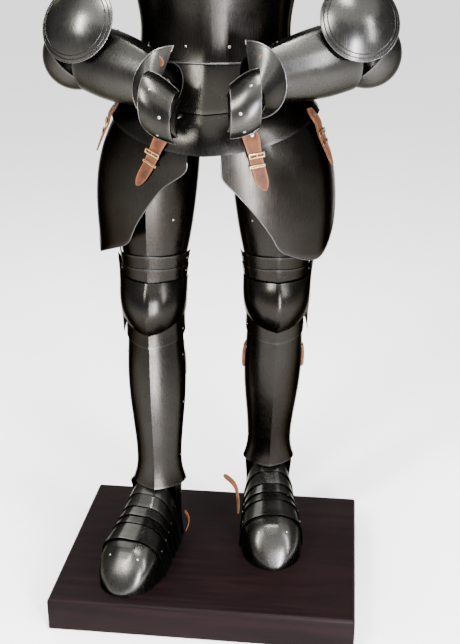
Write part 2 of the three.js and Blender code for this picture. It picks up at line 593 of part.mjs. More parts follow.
// ---------------------------------------------------------------- display frame inside the suit
async function makeFrame() {
  const wasm = await Module();
  wasm.setup();
  const solid = (geometry) => {
    geometry.deleteAttribute('normal');
    geometry.deleteAttribute('uv');
    const merged = mergeVertices(geometry, 1e-4);
    return new wasm.Manifold(new wasm.Mesh({
      numProp: 3,
      vertProperties: new Float32Array(merged.getAttribute('position').array),
      triVerts: new Uint32Array(merged.getIndex().array),
    }));
  };
  const rod = (from, to, radius = postRadius) => {
    const axis = to.clone().sub(from);
    const geometry = new THREE.CylinderGeometry(radius, radius, axis.length(), 6);
    const turn = new THREE.Quaternion().setFromUnitVectors(vec(0, 1, 0), axis.clone().normalize());
    geometry.applyQuaternion(turn);
    const middle = from.clone().add(to).multiplyScalar(0.5);
    return solid(geometry.translate(...middle.toArray()));
  };
  const hipZ = 900;
  const [hip, chest] = [vec(0, bodyY, hipZ), vec(0, bodyY, arms.left.shoulder[2] - 20)];
  let frame = rod(hip, vec(0, bodyY - 6, 1690));
  for (const leg of Object.values(legs)) {
    const top = vec(leg.hip[0], bodyY, hipZ);
    const heel = vec(leg.ankle[0], leg.ankle[1] + postRadius, soleGap);
    const foot = heel.clone().setZ(soleGap + postRadius);
    frame = frame.add(rod(heel, foot, 1.6 * postRadius)).add(rod(foot, top)).add(rod(hip, top));
  }
  for (const arm of Object.values(arms)) {
    const [shoulder, elbow, rim] = [arm.shoulder, arm.elbow, arm.cuff].map((p) => vec(...p));
    const inner = shoulder.clone().setZ(chest.z);
    frame = frame.add(rod(chest, inner)).add(rod(inner, elbow)).add(rod(elbow, rim));
  }
  const { vertProperties, triVerts } = frame.getMesh();
  const geometry = new THREE.BufferGeometry();
  geometry.setAttribute('position', new THREE.BufferAttribute(new Float32Array(vertProperties), 3));
  geometry.setIndex(new THREE.BufferAttribute(new Uint32Array(triVerts), 1));
  add('display_frame', geometry, 'frame');
}

// ---------------------------------------------------------------- the whole suit
makePlinth();
await makeFrame();
for (const [name, leg] of Object.entries(legs)) {
  makeSabaton(name, leg);
  makeGreave(name, leg);
  makeKnee(name, leg);
  makeCuisse(name, leg);
  makeTasset(name, tassets[name]);
}
straps.forEach(makeStrap);
makeFauld();
makeCuirass();
for (const [name, arm] of Object.entries(arms)) makeArm(name, arm);
makeHead();

export default group;
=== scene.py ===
from math import radians, sin, cos

import bpy
from mathutils import Matrix, Vector


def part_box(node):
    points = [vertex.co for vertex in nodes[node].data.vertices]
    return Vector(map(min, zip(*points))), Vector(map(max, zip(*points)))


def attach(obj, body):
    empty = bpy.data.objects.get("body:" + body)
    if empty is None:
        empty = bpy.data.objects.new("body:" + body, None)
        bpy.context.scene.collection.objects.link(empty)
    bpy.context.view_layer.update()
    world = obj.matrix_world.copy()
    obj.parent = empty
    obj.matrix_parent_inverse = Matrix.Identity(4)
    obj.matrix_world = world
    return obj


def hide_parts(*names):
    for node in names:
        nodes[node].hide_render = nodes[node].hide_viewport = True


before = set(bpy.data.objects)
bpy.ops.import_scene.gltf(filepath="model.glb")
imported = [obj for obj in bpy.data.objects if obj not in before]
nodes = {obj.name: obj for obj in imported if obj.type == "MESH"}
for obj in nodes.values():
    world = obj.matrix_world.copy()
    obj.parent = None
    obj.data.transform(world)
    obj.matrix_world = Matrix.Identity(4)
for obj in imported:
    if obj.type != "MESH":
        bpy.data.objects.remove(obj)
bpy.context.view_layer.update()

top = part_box("plinth")[1][2]          # the plinth's upper face
bodyY = 0.075                         # axis of the body armour
pieces = {}                           # finished pieces by name

legs = {
    "left": {"side": 1, "turn": 8, "footTurn": 8, "foot": (0.107, 0.130),
             "axis": [(0.0, 0.107, 0.130), (0.18, 0.107, 0.130), (0.53, 0.119, 0.100),
                      (0.86, 0.116, 0.078)]},
    "right": {"side": -1, "turn": 2, "footTurn": 11, "foot": (-0.127, 0.004),
              "axis": [(0.0, -0.114, 0.008), (0.18, -0.114, 0.008), (0.53, -0.124, 0.062),
                       (0.86, -0.118, 0.076)]},
}
arms = {
    "left": {"side": 1, "shoulder": (0.228, 0.080, 1.392), "elbow": (0.276, 0.016, 1.040),
             "crook": (0.240, 0.014, 1.064), "cuff": (0.088, -0.116, 1.004), "facing": (-0.42, -0.9, -0.12),
             "wrist": (0.096, -0.168, 0.985), "hand": ((0.107, -0.174, 0.984), (0.056, -0.184, 0.961))},
    "right": {"side": -1, "shoulder": (-0.228, 0.080, 1.392), "elbow": (-0.242, 0.004, 1.031),
              "crook": (-0.197, 0.001, 1.057), "cuff": (-0.060, -0.116, 0.994),
              "facing": (0.62, -0.77, -0.15),
              "wrist": (-0.072, -0.168, 0.974), "hand": ((-0.085, -0.174, 0.978), (-0.030, -0.186, 0.950))},
}


def lifted(spot):
    return Vector((spot[0], spot[1], spot[2] + top))


def legAxis(leg, height):
    stations = leg["axis"]
    for low, high in zip(stations, stations[1:]):
        if height <= high[0]:
            break
    t = max(0.0, min(1.0, (height - low[0]) / (high[0] - low[0])))
    return Vector((low[1] + (high[1] - low[1]) * t, low[2] + (high[2] - low[2]) * t, height + top))


def legWays(leg, turn):
    t = radians(turn)
    return Vector((leg["side"] * cos(t), sin(t), 0)), Vector((leg["side"] * sin(t), -cos(t), 0))


# ---- working on a mesh the way it is done by hand

def deselectAll():
    if bpy.context.object and bpy.context.object.mode != "OBJECT":
        bpy.ops.object.mode_set(mode="OBJECT")
    bpy.ops.object.select_all(action="DESELECT")


def activate(obj):
    deselectAll()
    obj.select_set(True)
    bpy.context.view_layer.objects.active = obj


def editSelected(obj, mode, chosen):
    # opens obj in edit mode with the chosen vertices, edges or faces selected
    activate(obj)
    bpy.ops.object.mode_set(mode="EDIT")
    bpy.ops.mesh.select_mode(type=mode)
    bpy.ops.mesh.select_all(action="DESELECT")
    bpy.ops.object.mode_set(mode="OBJECT")
    items = {"VERT": obj.data.vertices, "EDGE": obj.data.edges, "FACE": obj.data.polygons}[mode]
    for index in chosen:
        items[index].select = True
    bpy.ops.object.mode_set(mode="EDIT")


def closeEdit():
    bpy.ops.object.mode_set(mode="OBJECT")


def applyModifiers(obj):
    activate(obj)
    for modifier in list(obj.modifiers):
        bpy.ops.object.modifier_apply(modifier=modifier.name)


def settle(obj):
    # the place goes into the mesh, and the object back to the origin
    activate(obj)
    bpy.ops.object.transform_apply(location=True, rotation=True, scale=True)


def smoothShade(obj, angle=38):
    activate(obj)
    bpy.ops.object.shade_smooth_by_angle(angle=radians(angle))


def facesAtEdges(mesh):
    lookup = {key: i for i, key in enumerate(mesh.edge_keys)}
    found = [[] for _ in mesh.edges]
    for face in mesh.polygons:
        for key in face.edge_keys:
            found[lookup[key]].append(face)
    return found


def joinPieces(objs, name):
    activate(objs[0])
    for obj in objs:
        obj.select_set(True)
    bpy.ops.object.join()
    joined = bpy.context.object
    joined.name = name
    joined.data.name = name
    return joined


def finishPiece(obj, material, slotName, *replaced):
    obj.data.materials.clear()
    obj.data.materials.append(material)
    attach(obj, "root")
    if replaced:
        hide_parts(*replaced)
    pieces[obj.name] = obj
    return obj


def sharpEdges(mesh, limit=50):
    # edges where two faces meet at more than the limit, with those faces
    bend = cos(radians(limit))
    return [(i, faces) for i, faces in enumerate(facesAtEdges(mesh))
            if len(faces) == 2 and faces[0].normal.dot(faces[1].normal) < bend]


# a pole's fan of triangles stays, and so do triangles that meet at a bend
quadMend = {"poleEdges": 11, "flatness": 0.6}


def mendQuads(obj):
    # pairs of triangles become quads again where they share their longest side
    mesh = obj.data
    valence = [0] * len(mesh.vertices)
    for edge in mesh.edges:
        for v in edge.vertices:
            valence[v] += 1
    length = [(mesh.vertices[a].co - mesh.vertices[b].co).length for a, b in mesh.edge_keys]
    lookup = {key: i for i, key in enumerate(mesh.edge_keys)}
    longest = {}
    for face in mesh.polygons:
        sides = [lookup[key] for key in face.edge_keys]
        best = max(sides, key=lambda i: (round(length[i], 7), i))
        longest.setdefault(best, []).append(face)
    chosen = []
    for index, faces in longest.items():
        a, b = mesh.edges[index].vertices
        flat = len(faces) == 2 and faces[0].normal.dot(faces[1].normal) > quadMend["flatness"]
        if flat and max(valence[a], valence[b]) < quadMend["poleEdges"]:
            chosen.append(index)
    editSelected(obj, "EDGE", chosen)
    bpy.ops.mesh.dissolve_edges(use_verts=False)
    bpy.ops.mesh.select_mode(type="FACE")
    bpy.ops.mesh.select_all(action="SELECT")
    bpy.ops.mesh.tris_convert_to_quads(face_threshold=radians(40), shape_threshold=radians(50))
    closeEdit()


def copyNode(nodeName, pieceName):
    source = nodes[nodeName]
    piece = source.copy()
    piece.data = source.data.copy()
    piece.name = pieceName
    piece.data.name = pieceName
    bpy.context.scene.collection.objects.link(piece)
    piece.parent = None
    activate(piece)
    bpy.ops.object.mode_set(mode="EDIT")
    bpy.ops.mesh.select_all(action="SELECT")
    bpy.ops.mesh.remove_doubles(threshold=0.00002)
    closeEdit()
    if "custom_normal" in piece.data.attributes:
        piece.data.attributes.remove(piece.data.attributes["custom_normal"])
    mendQuads(piece)
    return piece


def creaseEdges(obj, chosen, value):
    if not chosen:
        return
    editSelected(obj, "EDGE", chosen)
    bpy.ops.transform.edge_crease(value=value)
    closeEdit()


def refine(obj, levels=2, ridge=None, ridgeCrease=0.8):
    # crisp rims, an optional ridge, then a smooth surface
    mesh = obj.data
    creaseEdges(obj, [i for i, _ in sharpEdges(mesh)], 1.0)
    if ridge:
        chosen = [e.index for e in mesh.edges
                  if ridge(mesh.vertices[e.vertices[0]].co) and ridge(mesh.vertices[e.vertices[1]].co)]
        creaseEdges(obj, chosen, ridgeCrease)
    surface = obj.modifiers.new("surface", "SUBSURF")
    surface.levels = surface.render_levels = levels
    applyModifiers(obj)
    smoothShade(obj)


def outerRim(obj, keep):
    # edges of the outer face's rim whose middle passes the test
    mesh = obj.data
    corners = [Vector(c) for c in obj.bound_box]
    middle = sum(corners, Vector()) / 8
    found = []
    for index, faces in sharpEdges(mesh):
        wide = max(faces, key=lambda f: f.area)
        a, b = (mesh.vertices[v].co for v in mesh.edges[index].vertices)
        if wide.normal.dot(wide.center - middle) > 0 and keep((a + b) / 2):
            found.append(index)
    return found


def wireFrom(obj, chosen, name, radius):
    # a round bead along the chosen edges of a piece
    editSelected(obj, "EDGE", chosen)
    bpy.ops.mesh.duplicate()
    bpy.ops.mesh.separate(type="SELECTED")
    closeEdit()
    bead = [o for o in bpy.context.selected_objects if o is not obj][0]
    activate(bead)
    bpy.ops.object.convert(target="CURVE")
    bead = bpy.context.object
    bead.data.bevel_depth = radius
    bead.data.bevel_resolution = 2
    bead.data.use_fill_caps = True
    bead.name = name
    bpy.ops.object.convert(target="MESH")
    bead = bpy.context.object
    bpy.ops.object.mode_set(mode="EDIT")
    bpy.ops.mesh.select_all(action="SELECT")
    bpy.ops.mesh.remove_doubles(threshold=0.00001)
    bpy.ops.mesh.normals_make_consistent(inside=False)
    closeEdit()
    bead.data.name = name
    smoothShade(bead, 60)
    return bead


def rolledEdge(obj, name, radius, keep=lambda p: True):
    chosen = outerRim(obj, keep)
    if not chosen:
        print("no rim found on", obj.name)
        return None
    return finishPiece(wireFrom(obj, chosen, name, radius), edgeSteel, "steel")


# ---- materials

def newMaterial(name):
    material = bpy.data.materials.new(name)
    material.use_nodes = True
    tree = material.node_tree
    shader = tree.nodes["Principled BSDF"]
    return material, tree, shader


def objectCoords(tree, scale=(1, 1, 1), turn=(0, 0, 0)):
    coords = tree.nodes.new("ShaderNodeTexCoord")
    mapping = tree.nodes.new("ShaderNodeMapping")
    mapping.inputs["Scale"].default_value = scale
    mapping.inputs["Rotation"].default_value = [radians(a) for a in turn]
    tree.links.new(coords.outputs["Object"], mapping.inputs["Vector"])
    return mapping.outputs["Vector"]


def noise(tree, vector, scale, detail=4, roughness=0.55, distortion=0.0):
    node = tree.nodes.new("ShaderNodeTexNoise")
    node.inputs["Scale"].default_value = scale
    node.inputs["Detail"].default_value = detail
    node.inputs["Roughness"].default_value = roughness
    node.inputs["Distortion"].default_value = distortion
    tree.links.new(vector, node.inputs["Vector"])
    return node.outputs["Fac"]


def ramp(tree, factor, stops):
    node = tree.nodes.new("ShaderNodeValToRGB")
    while len(node.color_ramp.elements) < len(stops):
        node.color_ramp.elements.new(0.5)
    for element, (position, color) in zip(node.color_ramp.elements, stops):
        element.position = position
        element.color = (*color, 1)
    tree.links.new(factor, node.inputs["Fac"])
    return node.outputs["Color"]


def mapRange(tree, value, low, high, fromLow=0.3, fromHigh=0.7):
    node = tree.nodes.new("ShaderNodeMapRange")
    for name, number in (("From Min", fromLow), ("From Max", fromHigh), ("To Min", low), ("To Max", high)):
        node.inputs[name].default_value = number
    tree.links.new(value, node.inputs["Value"])
    return node.outputs["Result"]


def mixColor(tree, factor, a, b, mode="MIX"):
    node = tree.nodes.new("ShaderNodeMix")
    node.data_type = "RGBA"
    node.blend_type = mode
    for socket, value in ((node.inputs["Factor"], factor), (node.inputs[6], a), (node.inputs[7], b)):
        if isinstance(value, (int, float)):
            socket.default_value = value
        elif isinstance(value, tuple):
            socket.default_value = (*value, 1)
        else:
            tree.links.new(value, socket)
    return node.outputs[2]


def mathNode(tree, operation, a, b):
    node = tree.nodes.new("ShaderNodeMath")
    node.operation = operation
    for socket, value in zip(node.inputs, (a, b)):
        if isinstance(value, (int, float)):
            socket.default_value = value
        else:
            tree.links.new(value, socket)
    return node.outputs[0]


def bump(tree, shader, layers):
    # layers: (height, strength, distance), the last one on top
    normal = None
    for height, strength, distance in layers:
        node = tree.nodes.new("ShaderNodeBump")
        node.inputs["Strength"].default_value = strength
        node.inputs["Distance"].default_value = distance
        tree.links.new(height, node.inputs["Height"])
        if normal:
            tree.links.new(normal, node.inputs["Normal"])
        normal = node.outputs["Normal"]
    tree.links.new(normal, shader.inputs["Normal"])


steelLook = {
    "oiled": (0.0105, 0.0092, 0.0072),    # brown-olive film left on the steel
    "clean": (0.0200, 0.0190, 0.0168),    # bare darkened steel
    "ridge": (0.070, 0.069, 0.067),       # rubbed bright on ridges
    "graze": (0.30, 0.29, 0.27),          # tint of glancing reflections
    "roughness": (0.20, 0.31),
}


def makeSteel(name, look):
    material, tree, shader = newMaterial(name)
    plain = objectCoords(tree)
    clouds = noise(tree, plain, 5, 3, 0.5, 0.3)
    color = ramp(tree, clouds, [(0.30, look["oiled"]), (0.70, look["clean"])])
    specks = noise(tree, plain, 95, 5, 0.7)
    color = mixColor(tree, mapRange(tree, specks, 0.0, 0.3, 0.58, 0.74), color, (0.006, 0.005, 0.0038))
    geometry = tree.nodes.new("ShaderNodeNewGeometry")
    rubbed = mapRange(tree, geometry.outputs["Pointiness"], 0.0, 0.6, 0.53, 0.64)
    color = mixColor(tree, rubbed, color, look["ridge"])
    tree.links.new(color, shader.inputs["Base Color"])
    grain = noise(tree, objectCoords(tree, (1, 1, 0.05)), 420, 3, 0.6)
    smudges = noise(tree, plain, 16, 5, 0.6)
    low, high = look["roughness"]
    rough = mathNode(tree, "ADD", mapRange(tree, smudges, low, high), mapRange(tree, grain, -0.03, 0.05))
    tree.links.new(rough, shader.inputs["Roughness"])
    shader.inputs["Metallic"].default_value = 1.0
    shader.inputs["Specular Tint"].default_value = (*look.get("graze", (0.32, 0.31, 0.30)), 1)
    hammered = noise(tree, plain, 21, 2, 0.4)
    bump(tree, shader, [(hammered, 0.07, 0.0014), (grain, 0.05, 0.0001)])
    return material


steel = makeSteel("darkSteel", steelLook)
paintedLightSteel = makeSteel("paintedLightSteel", {    # painted light: arms, hands and feet get a lighter copy of the same steel, to show them brighter lit
    "oiled": (0.019, 0.0180, 0.0150), "clean": (0.046, 0.0455, 0.0415), "ridge": (0.12, 0.12, 0.12),
    "graze": (0.40, 0.40, 0.39), "roughness": (0.21, 0.32)})
edgeSteel = makeSteel("rubbedEdgeSteel", {
    "oiled": (0.035, 0.032, 0.028), "clean": (0.075, 0.074, 0.072), "ridge": (0.14, 0.14, 0.142),
    "roughness": (0.24, 0.38)})
rivetSteel = makeSteel("rivetSteel", {
    "oiled": (0.16, 0.15, 0.14), "clean": (0.30, 0.295, 0.29), "ridge": (0.42, 0.42, 0.42),
    "roughness": (0.22, 0.34)})

brass = makeSteel("agedBrass", {
    "oiled": (0.15, 0.085, 0.032), "clean": (0.34, 0.22, 0.10), "ridge": (0.50, 0.36, 0.20),
    "roughness": (0.26, 0.42)})

leatherLook = {
    "dark": (0.026, 0.0082, 0.0028), "light": (0.078, 0.028, 0.0105), "rubbed": (0.14, 0.058, 0.024),
    "roughness": (0.50, 0.70), "shine": 0.12,
}


def makeLeather(name, look):
    material, tree, shader = newMaterial(name)
    plain = objectCoords(tree)
    clouds = noise(tree, plain, 34, 6, 0.6)
    color = ramp(tree, clouds, [(0.32, look["dark"]), (0.62, look["light"])])
    geometry = tree.nodes.new("ShaderNodeNewGeometry")
    rubbed = mapRange(tree, geometry.outputs["Pointiness"], 0.0, 0.8, 0.51, 0.58)
    color = mixColor(tree, rubbed, color, look["rubbed"])
    pores = tree.nodes.new("ShaderNodeTexVoronoi")
    pores.inputs["Scale"].default_value = 900
    tree.links.new(plain, pores.inputs["Vector"])
    tree.links.new(color, shader.inputs["Base Color"])
    shader.inputs["Specular IOR Level"].default_value = look["shine"]
    tree.links.new(mapRange(tree, clouds, *look["roughness"]), shader.inputs["Roughness"])
    bump(tree, shader, [(clouds, 0.3, 0.0006), (pores.outputs["Distance"], 0.35, 0.0003)])
    return material


leather = makeLeather("tanLeather", leatherLook)

woodLook = {
    "dark": (0.0022, 0.0010, 0.0011), "light": (0.0060, 0.0025, 0.0026),
    "roughness": (0.42, 0.56), "shine": 0.05,
}


def makeWood(name, look):
    material, tree, shader = newMaterial(name)
    along = objectCoords(tree, (0.6, 9, 9))
    figure = noise(tree, along, 3.2, 7, 0.62, 1.6)
    fine = noise(tree, objectCoords(tree, (2, 60, 60)), 9, 4, 0.6)
    color = ramp(tree, mathNode(tree, "ADD", mathNode(tree, "MULTIPLY", figure, 0.7),
                                mathNode(tree, "MULTIPLY", fine, 0.3)),
                 [(0.38, look["dark"]), (0.62, look["light"])])
    tree.links.new(color, shader.inputs["Base Color"])
    dust = noise(tree, objectCoords(tree), 11, 6, 0.65)
    tree.links.new(mapRange(tree, dust, *look["roughness"]), shader.inputs["Roughness"])
    shader.inputs["Specular IOR Level"].default_value = look["shine"]
    bump(tree, shader, [(fine, 0.12, 0.0003)])
    return material


wood = makeWood("darkMahogany", woodLook)


def makePaint(name, color, roughness):
    material, tree, shader = newMaterial(name)
    plain = objectCoords(tree)
    wear = noise(tree, plain, 40, 5, 0.6)
    tone = ramp(tree, wear, [(0.35, color), (0.7, tuple(c * 1.5 for c in color))])
    tree.links.new(tone, shader.inputs["Base Color"])
    tree.links.new(mapRange(tree, wear, roughness - 0.08, roughness + 0.08), shader.inputs["Roughness"])
    bump(tree, shader, [(noise(tree, plain, 600, 2), 0.15, 0.0001)])
    return material


framePaint = makePaint("blackFramePaint", (0.012, 0.012, 0.013), 0.45)
# painted shade: near-black paint for the sunk domes that stand for the strap holes, dark for the shade
# inside them
paintedHoleShade = makePaint("paintedHoleShadow", (0.010, 0.006, 0.004), 0.8)
print("materials made")

# ---- plinth

plinthLook = {"roundOver": 0.0035, "segments": 3}


def makePlinth():
    plinth = copyNode("plinth", "woodenPlinth")
    rounded = plinth.modifiers.new("roundOver", "BEVEL")
    rounded.width = plinthLook["roundOver"]
    rounded.segments = plinthLook["segments"]
    rounded.limit_method = "ANGLE"
    rounded.angle_limit = radians(30)
    applyModifiers(plinth)
    smoothShade(plinth, 30)
    finishPiece(plinth, wood, "wood", "plinth")


makePlinth()
nodes["display_frame"].data.materials.clear()
nodes["display_frame"].data.materials.append(framePaint)
print("plinth and display frame done")

# ---- leg plates

legPlates = {
    "greave_front": "greaveFront", "greave_back": "greaveBack", "knee_low": "kneeLowPlate",
    "knee_cop": "kneeCop", "knee_up1": "kneeUpperPlate", "knee_up2": "thighLowPlate",
    "cuisse": "thighPlate",
}
kneeTuck = {"above": 0.496, "rise": 0.030}
ridgeReach = 0.007                    # the ridge column lies within this of the leg's middle line


def makeLegPlates(name, leg):
    out, ahead = legWays(leg, leg["turn"])

    def onRidge(p):
        offset = p - legAxis(leg, p.z - top)
        return abs(offset.dot(out)) < ridgeReach and offset.dot(ahead) > 0

    for node, label in legPlates.items():
        piece = copyNode(f"{node}_{name}", f"{label}_{name}")
        if node == "knee_low":
            # its upper rim goes further up under the cop, so nothing shows between them
            rim = [v.index for v in piece.data.vertices if v.co.z > top + kneeTuck["above"]]
            editSelected(piece, "VERT", rim)
            bpy.ops.transform.translate(value=(0, 0, kneeTuck["rise"]))
            closeEdit()
        refine(piece, ridge=None if node == "greave_back" else onRidge, ridgeCrease=1.0)
        finishPiece(piece, steel, "steel", f"{node}_{name}")


# ---- feet

facetBand = (0.011, 0.023)            # the flat middle facet's edges lie this far from the middle line
footPlates = {
    "instep_1": "instepPlate1", "instep_2": "instepPlate2", "instep_3": "instepPlate3",
    "instep_4": "instepPlate4", "ball_plate": "ballPlate", "toe_cap": "toeCap", "heel_plate": "heelPlate",
}


def makeFoot(name, leg):
    out, ahead = legWays(leg, leg["footTurn"])
    ankle = Vector((*leg["foot"], top))

    def onFacet(p):
        offset = p - ankle
        return facetBand[0] < abs(offset.dot(out)) < facetBand[1] and offset.z > 0.045

    for node, label in footPlates.items():
        piece = copyNode(f"{node}_{name}", f"{label}_{name}")
        refine(piece, ridge=None if node == "heel_plate" else onFacet, ridgeCrease=0.7)
        # the feet take the lighter copy of the steel, which is painted light
        finishPiece(piece, paintedLightSteel, "steel", f"{node}_{name}")


for legName, legValues in legs.items():
    makeLegPlates(legName, legValues)
    makeFoot(legName, legValues)
print("legs and feet done")

# ---- body armour, skirt and tassets

bodyPlates = {
    "fauld_lower": "fauldLower", "fauld_upper": "fauldUpper", "breastplate": "breastPlate",
    "backplate": "backPlate", "culet": "rearSkirt", "gorget": "neckPlate", "bevor": "chinGuard",
    "helmet": "helmetSkull",
}


# the neck plate's lower rim spreads over the shoulders in two steps: drop and growth of each
collar = {"rim": 1.394, "forward": 0.008, "steps": [(0.018, 1.15), (0.034, 1.12)]}


def spreadCollar(piece):
    mesh = piece.data
    rim = [f.index for f in mesh.polygons
           if all(mesh.vertices[v].co.z < top + collar["rim"] for v in f.vertices) and f.normal.z < -0.5]
    middle = (0, bodyY - collar["forward"], top + collar["rim"])
    editSelected(piece, "FACE", rim)
    for drop, growth in collar["steps"]:
        bpy.ops.mesh.extrude_region_move(TRANSFORM_OT_translate={"value": (0, 0, -drop)})
        bpy.ops.transform.resize(value=(growth, growth, 1), center_override=middle)
    closeEdit()


def makeBody():
    def onFront(p):
        return abs(p.x) < 0.003 and p.y < bodyY

    for node, label in bodyPlates.items():
        piece = copyNode(node, label)
        if node == "gorget":
            spreadCollar(piece)
        ridged = node in ("fauld_lower", "fauld_upper", "breastplate", "bevor")
        refine(piece, ridge=onFront if ridged else None, ridgeCrease=0.6)
        finishPiece(piece, steel, "steel", node)
    for label, radius in (("breastPlate", 0.0018), ("backPlate", 0.0016), ("rearSkirt", 0.0012),
                          ("chinGuard", 0.0016), ("helmetSkull", 0.0019), ("neckPlate", 0.0014)):
        rolledEdge(pieces[label], label + "Edge", radius)


tassetEdge = {"bead": 0.0013, "below": 0.855}      # rolled below this height, plain under the skirt


def makeTasset(name):
    piece = copyNode(f"tasset_{name}", f"tassetPlate_{name}")
    refine(piece)
    finishPiece(piece, steel, "steel", f"tasset_{name}")
    rolledEdge(piece, f"tassetEdge_{name}", tassetEdge["bead"], lambda p: p.z < top + tassetEdge["below"])


makeBody()
makeTasset("left")
makeTasset("right")
print("body armour done")

# ---- arms

armPlates = {
    "shoulder": "shoulderDome", "upper_arm": "upperArmTube", "elbow_cop": "elbowCop",
    "elbow_wing": "elbowWing", "forearm": "forearmTube", "cuff": "gauntletCuff", "hand": "handPlate",
    "fingers": "fingerPlate",
}
armEdges = {"crease": 0.006, "cuffRim": 0.006, "cuffBead": 0.0016}
wingLine = {"radii": (0.0665, 0.0600), "bead": 0.0010, "ringReach": 0.0008}   # raised lines on the wing


def makeArm(name, arm):
    elbow, cuff = lifted(arm["elbow"]), lifted(arm["cuff"])
    along = (cuff - elbow).normalized()
    across = along.cross(Vector((0, -0.55, 1))).normalized()
    upwards = across.cross(along)

    def onCrease(p):
        offset = p - elbow
        return abs(offset.dot(across)) < armEdges["crease"] and offset.dot(upwards) > 0

    for node, label in armPlates.items():
        piece = copyNode(f"{node}_{name}", f"{label}_{name}")
        refine(piece, ridge=onCrease if node == "forearm" else None, ridgeCrease=0.75)
        # the arms and hands take the lighter copy of the steel, which is painted light
        finishPiece(piece, paintedLightSteel, "steel", f"{node}_{name}")
    facing = Vector(arm["facing"]).normalized()
    rolledEdge(pieces[f"gauntletCuff_{name}"], f"gauntletCuffRim_{name}", armEdges["cuffBead"],
               lambda p: abs((p - cuff).dot(facing)) < armEdges["cuffRim"])
    for label, radius in (("handPlate", 0.0008), ("elbowWing", 0.0010), ("shoulderDome", 0.0014)):
        rolledEdge(pieces[f"{label}_{name}"], f"{label}Edge_{name}", radius)
    # two raised lines run round the wing inside its edge
    wing = pieces[f"elbowWing_{name}"]
    crook = lifted(arm["crook"])
    pole = Vector((arm["side"] * 0.3, -0.86, 0.4)).normalized()
    for number, radius in enumerate(wingLine["radii"]):
        chosen = []
        mesh = wing.data
        apart = {}
        for v in mesh.vertices:
            offset = v.co - crook
            apart[v.index] = ((offset - pole * offset.dot(pole)).length, offset.dot(pole))
        rings = sorted({round(r, 4) for r, _ in apart.values()})
        nearest = min(rings, key=lambda r: abs(r - radius))
        for edge in mesh.edges:
            a, b = (apart[v] for v in edge.vertices)
            if max(abs(a[0] - nearest), abs(b[0] - nearest)) < wingLine["ringReach"] and \
                    mesh.vertices[edge.vertices[0]].normal.dot(pole) > 0:
                chosen.append(edge.index)
        if chosen:
            line = wireFrom(wing, chosen, f"wingLine{number + 1}_{name}", wingLine["bead"])
            finishPiece(line, steel, "steel")


for armName, armValues in arms.items():
    makeArm(armName, armValues)
print("arms done")

# ---- rivets

rivetSize = {"radius": 0.0030, "height": 0.0014, "sides": 12}


def rivetMaster():
    deselectAll()
    bpy.ops.mesh.primitive_cylinder_add(vertices=rivetSize["sides"], radius=rivetSize["radius"],
                                        depth=rivetSize["height"], location=(0, 0, 0))
    master = bpy.context.object
    crown = [f.index for f in master.data.polygons if f.normal.z > 0.9]
    editSelected(master, "FACE", crown)
    bpy.ops.mesh.inset(thickness=rivetSize["radius"] * 0.35)
    bpy.ops.transform.translate(value=(0, 0, rivetSize["height"] * 0.45))
    bpy.ops.mesh.inset(thickness=rivetSize["radius"] * 0.3)
    bpy.ops.transform.translate(value=(0, 0, rivetSize["height"] * 0.2))
    closeEdit()
    return master


def surfaceSpot(piece, inside, way):
    # where a line from inside the suit leaves through the piece
    way = way.normalized()
    hit, spot, normal, _ = piece.ray_cast(inside + way * 0.4, -way)
    return (spot, normal) if hit else None


def rivetRow(spots, name, material, size=1.0):
    master = rivetMaster()
    copies = []
    for spot, normal in spots:
        rivet = master.copy()
        rivet.data = master.data.copy()
        bpy.context.scene.collection.objects.link(rivet)
        turn = Vector((0, 0, 1)).rotation_difference(normal).to_matrix().to_4x4()
        rivet.matrix_world = Matrix.Translation(spot) @ turn @ Matrix.Scale(size, 4)
        settle(rivet)
        copies.append(rivet)
    bpy.data.objects.remove(master)
    row = joinPieces(copies, name)
    smoothShade(row, 50)
    return finishPiece(row, material, "steel")


def legSpot(name, label, height, angle):
    leg = legs[name]
    out, ahead = legWays(leg, leg["turn"])
    way = out * sin(radians(angle)) + ahead * cos(radians(angle))
    return surfaceSpot(pieces[f"{label}_{name}"], legAxis(leg, height), way)


def footSpot(name, label, distance, angle, rise=0.0):
    leg = legs[name]
    out, ahead = legWays(leg, leg["footTurn"])
    inside = Vector((*leg["foot"], top + rise)) + ahead * distance
    way = out * sin(radians(angle)) + Vector((0, 0, cos(radians(angle))))
    return surfaceSpot(pieces[f"{label}_{name}"], inside, way)


def bodySpot(label, height, angle):
    inside = Vector((0, bodyY, top + height))
    way = Vector((sin(radians(angle)), -cos(radians(angle)), 0))
    return surfaceSpot(pieces[label], inside, way)


